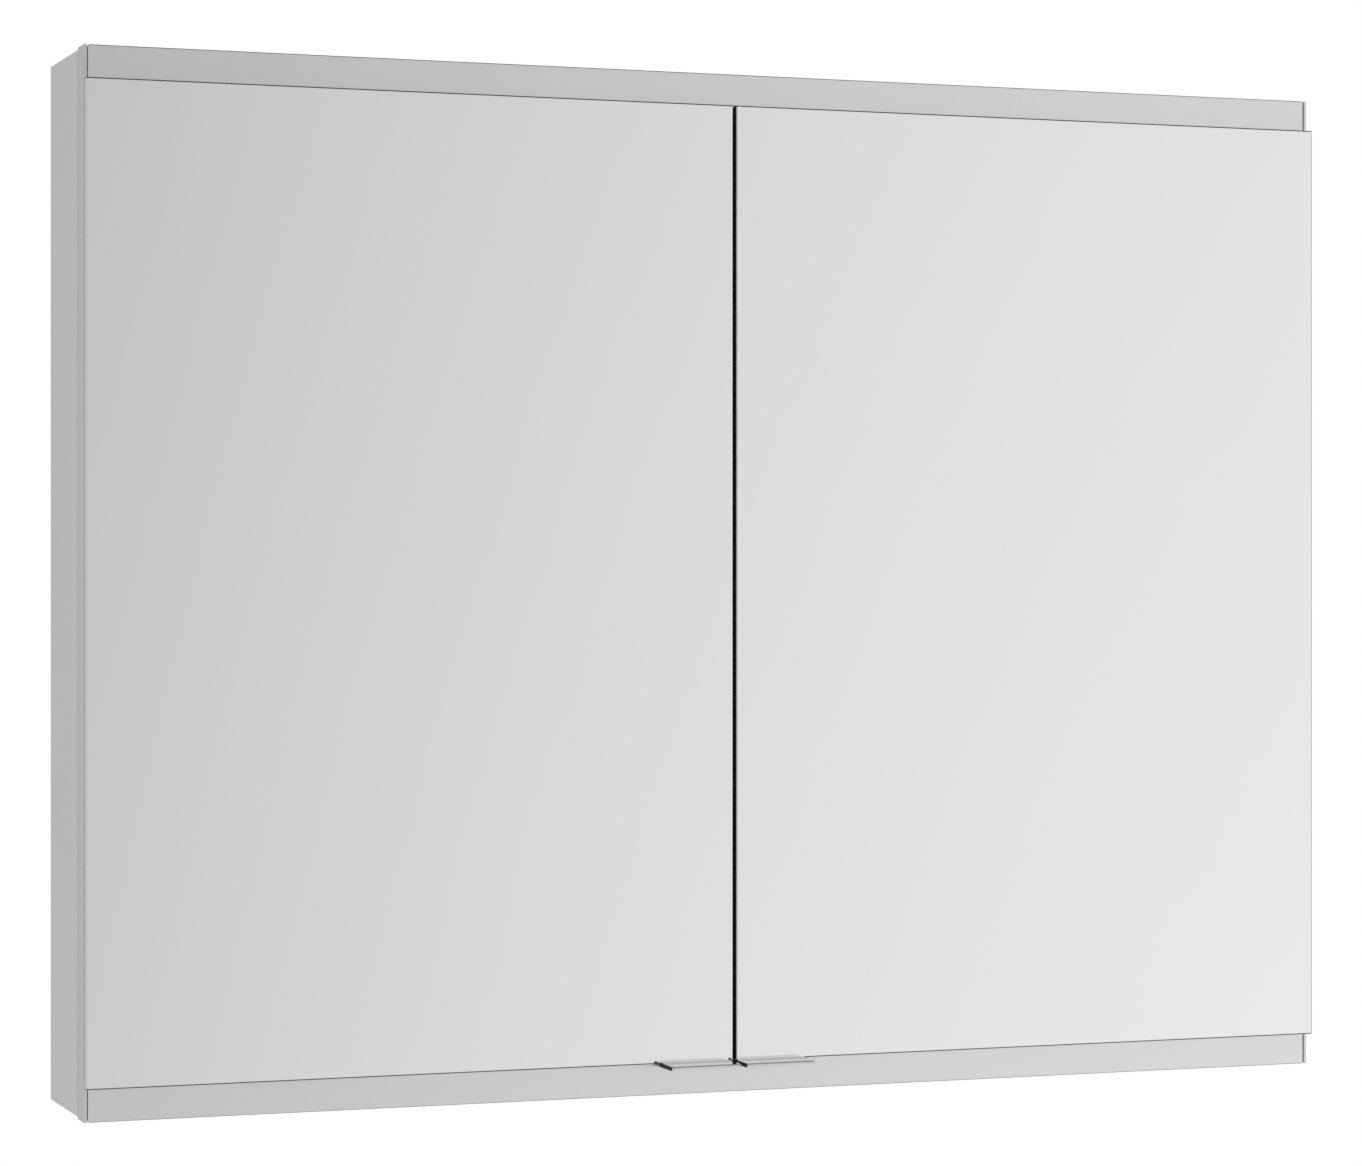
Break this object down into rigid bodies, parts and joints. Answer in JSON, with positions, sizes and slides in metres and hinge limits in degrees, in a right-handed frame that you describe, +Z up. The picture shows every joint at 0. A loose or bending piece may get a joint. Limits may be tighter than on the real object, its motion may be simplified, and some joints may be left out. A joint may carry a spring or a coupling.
{
  "type": "mirror cabinet",
  "caption": "Shallow wall-hung mirror cabinet with hinged double-sided mirror doors, light strips above and below, glass shelves and an aluminium body.",
  "frame": {"origin": "centre of the wall fixing pattern, on the wall plane", "axes": "+X to the right seen from the room, +Y from the room into the wall, +Z up"},
  "size_m": [0.9008, 0.139, 0.703],
  "materials": {
    "anodised_aluminium": "fine satin anodised",
    "body_sheet": "satin",
    "mirror_glass": "clear silvered mirror with seamed edges",
    "polished_chrome": "bright polished",
    "plated_steel": "zinc plated",
    "hinge_metal": "nickel plated",
    "clear_glass": "polished edges",
    "satin_cover": "satin opal",
    "screw_steel": "plated",
    "board_white": "white solder mask",
    "led_lens": "phosphor lens",
    "driver_case": "fine moulded grain",
    "lead_sleeve": "smooth sleeve",
    "soft_rubber": "matte",
    "magnet_metal": "ground",
    "switch_plastic": "smooth moulded"
  },
  "bodies": {
    "root": {"adjusting_screws": "screw_steel", "back_wall": "body_sheet", "body_screws": "screw_steel", "bottom_wall": "body_sheet", "cable_grommet": "soft_rubber", "catch_magnets": "magnet_metal", "ceiling_panel": "body_sheet", "centre_partition": "body_sheet", "door_bumpers": "soft_rubber", "floor_panel": "body_sheet", "frame_profile_left": "anodised_aluminium", "frame_profile_right": "anodised_aluminium", "glass_shelf_left_lower": "clear_glass", "glass_shelf_left_upper": "clear_glass", "glass_shelf_right_lower": "clear_glass", "glass_shelf_right_upper": "clear_glass", "hanging_hook_left": "plated_steel", "hanging_hook_right": "plated_steel", "hinge_base_left_lower": "hinge_metal", "hinge_base_left_upper": "hinge_metal", "hinge_base_right_lower": "hinge_metal", "hinge_base_right_upper": "hinge_metal", "hinge_base_screws": "screw_steel", "hinge_pins": "screw_steel", "hook_screws": "screw_steel", "interior_mirror_left": "mirror_glass", "interior_mirror_right": "mirror_glass", "led_board_lower": "board_white", "led_board_upper": "board_white", "led_driver": "driver_case", "leds": "led_lens", "light_cover_lower": "satin_cover", "light_cover_upper": "satin_cover", "light_housing_lower": "anodised_aluminium", "light_housing_upper": "anodised_aluminium", "light_leads": "lead_sleeve", "panel_screws": "screw_steel", "shelf_rails": "body_sheet", "shelf_supports": "screw_steel", "side_wall_left": "anodised_aluminium", "side_wall_right": "anodised_aluminium", "supply_leads": "lead_sleeve", "switch_housing": "switch_plastic", "terminal_block": "driver_case", "top_wall": "body_sheet", "wall_rail_lower": "plated_steel", "wall_rail_upper": "plated_steel"},
    "door_left": {"door_back_mirror_left": "mirror_glass", "door_front_mirror_left": "mirror_glass", "finger_pull_left": "polished_chrome", "hinge_arm_left_lower": "hinge_metal", "hinge_arm_left_upper": "hinge_metal", "strike_plate_left": "plated_steel"},
    "door_right": {"door_back_mirror_right": "mirror_glass", "door_front_mirror_right": "mirror_glass", "finger_pull_right": "polished_chrome", "hinge_arm_right_lower": "hinge_metal", "hinge_arm_right_upper": "hinge_metal", "strike_plate_right": "plated_steel"},
    "switch_button": {"switch_button": "switch_plastic"}
  },
  "joints": [
    {"name": "door_left_hinge", "type": "hinge", "parent": "root", "child": "door_left", "pos_m": [-0.442, -0.0937, 0], "axis": [0, 0, -1], "range_deg": [0, 105]},
    {"name": "door_right_hinge", "type": "hinge", "parent": "root", "child": "door_right", "pos_m": [0.442, -0.0937, 0], "axis": [0, 0, 1], "range_deg": [0, 105]},
    {"name": "switch_press", "type": "slide", "parent": "root", "child": "switch_button", "axis": [0, 0, 1], "range_m": [0, 0.0015], "stiffness_N_per_m": 400}
  ]
}
